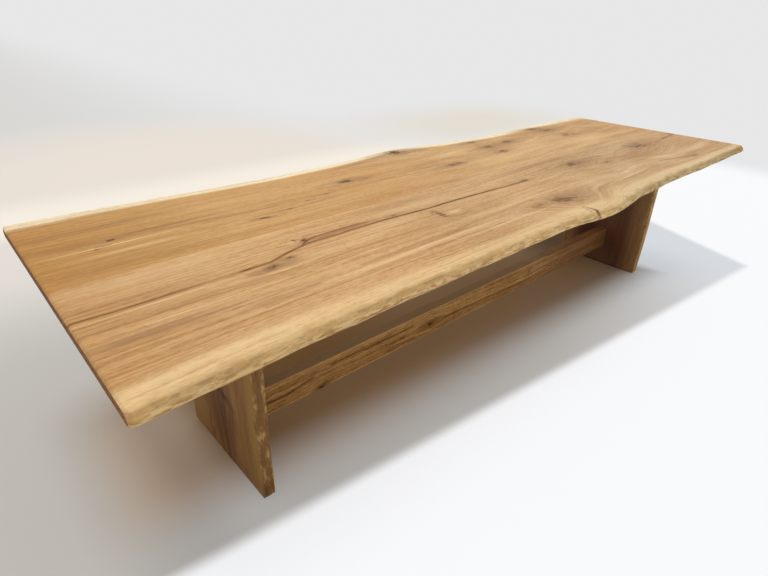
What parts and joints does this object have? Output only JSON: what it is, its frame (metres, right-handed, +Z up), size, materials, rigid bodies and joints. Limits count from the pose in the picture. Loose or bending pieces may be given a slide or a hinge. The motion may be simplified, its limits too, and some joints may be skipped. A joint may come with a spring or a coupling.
{
  "type": "live-edge plank table",
  "caption": "Long solid oak table: a plank top with waney live edges on broad plank legs, tied by a low stretcher plank on edge.",
  "frame": {"origin": "on the floor, under the middle of the table's overall box", "axes": "+X along the table from its left end to its right end as seen from the front, +Y from front to back, +Z up"},
  "size_m": [3.255, 1.11, 0.755],
  "materials": {
    "oak_top_front": "oiled oak, pinkish tan with fine stripes, a dark filled heart crack and pale sapwood",
    "oak_top_back": "oiled oak, olive tan with small knots and pale sapwood",
    "oak_leg": "oiled oak, upright grain, rough live edges",
    "oak_stretcher": "oiled oak, grain along the plank, small cracks and knots"
  },
  "bodies": {
    "root": {"top_plank_front": "oak_top_front", "top_plank_back": "oak_top_back", "leg_plank_left": "oak_leg", "leg_plank_right": "oak_leg", "stretcher_plank": "oak_stretcher"}
  },
  "joints": []
}
